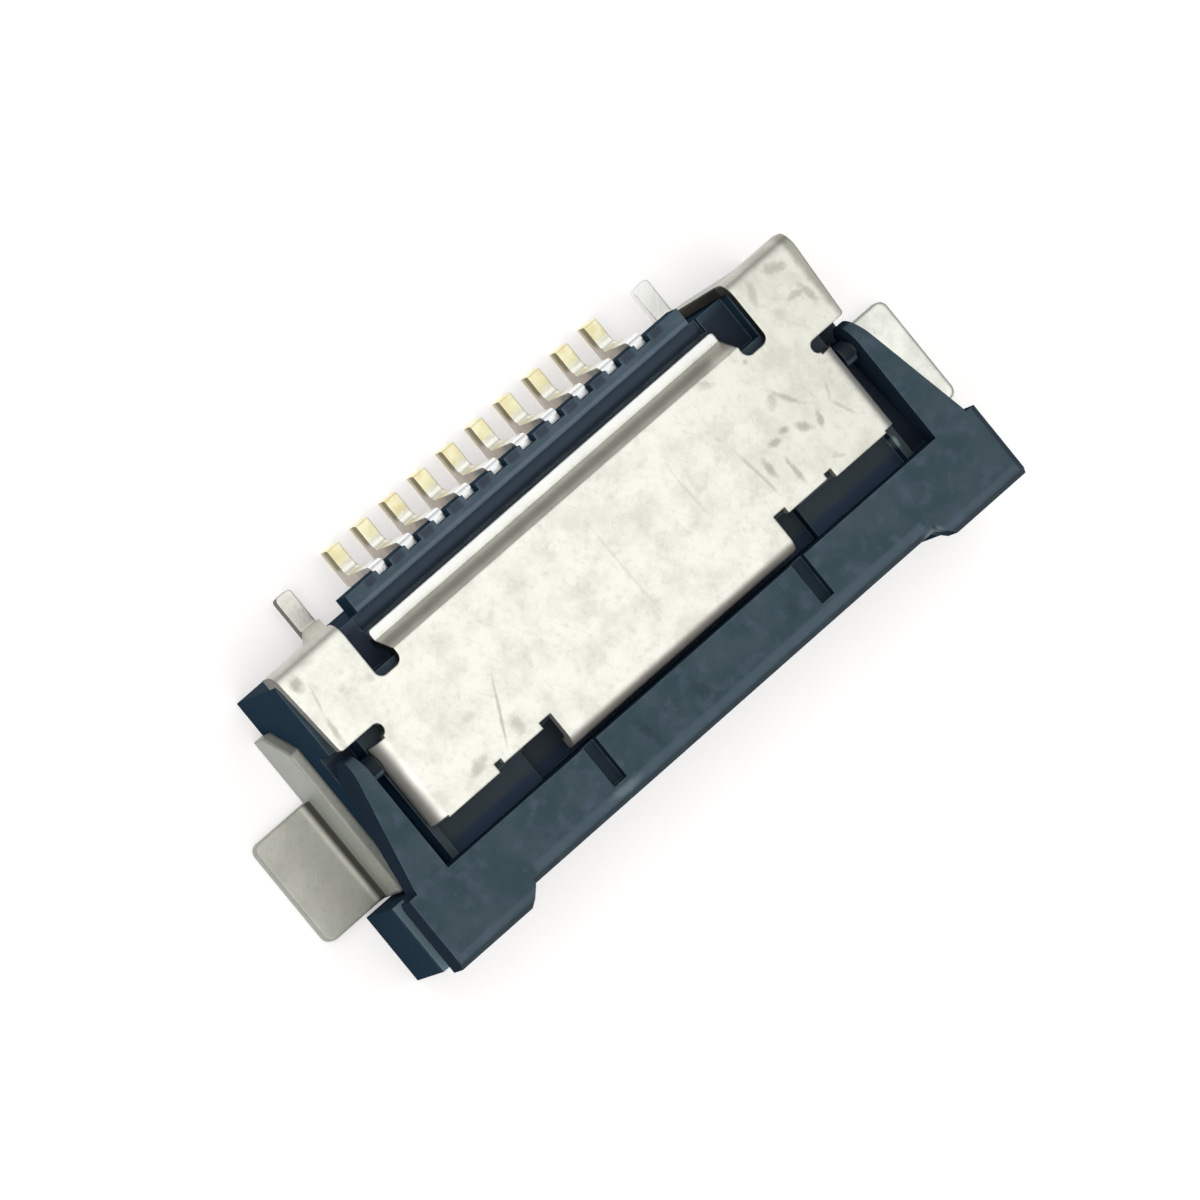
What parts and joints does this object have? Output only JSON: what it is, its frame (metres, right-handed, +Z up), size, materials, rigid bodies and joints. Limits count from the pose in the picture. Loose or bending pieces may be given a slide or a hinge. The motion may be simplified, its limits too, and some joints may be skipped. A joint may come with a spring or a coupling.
{
  "type": "fpc connector",
  "caption": "Horizontal surface-mount connector for a flat flexible cable, with a flip-up lock bar, a stamped metal shield shell and gull-wing solder feet.",
  "frame": {"origin": "on the board plane, at the middle of the contact row; X=0 is the middle of the ten contacts", "axes": "+X along the contact row, +Y towards the solder feet (the cable enters from -Y), +Z up from the board"},
  "size_m": [0.011, 0.0049, 0.0019],
  "materials": {
    "base_plastic": "fine moulded matte, near-black navy",
    "lock_plastic": "fine moulded matte, dark slate blue",
    "shell_metal": "bright tin-plated sheet with faint scuffs",
    "nail_metal": "tin-plated sheet",
    "contact_gold": "thin pale gold plating"
  },
  "bodies": {
    "connector_body": {"base_housing": "base_plastic", "shell": "shell_metal", "left_nail": "nail_metal", "right_nail": "nail_metal", "contact_01": "contact_gold", "contact_02": "contact_gold", "contact_03": "contact_gold", "contact_04": "contact_gold", "contact_05": "contact_gold", "contact_06": "contact_gold", "contact_07": "contact_gold", "contact_08": "contact_gold", "contact_09": "contact_gold", "contact_10": "contact_gold"},
    "lock": {"actuator": "lock_plastic"}
  },
  "joints": [
    {"name": "lock_flip", "type": "hinge", "parent": "connector_body", "child": "lock", "pos_m": [0, 0, 0.00162], "axis": [-1, 0, 0], "range_deg": [0, 90]}
  ]
}
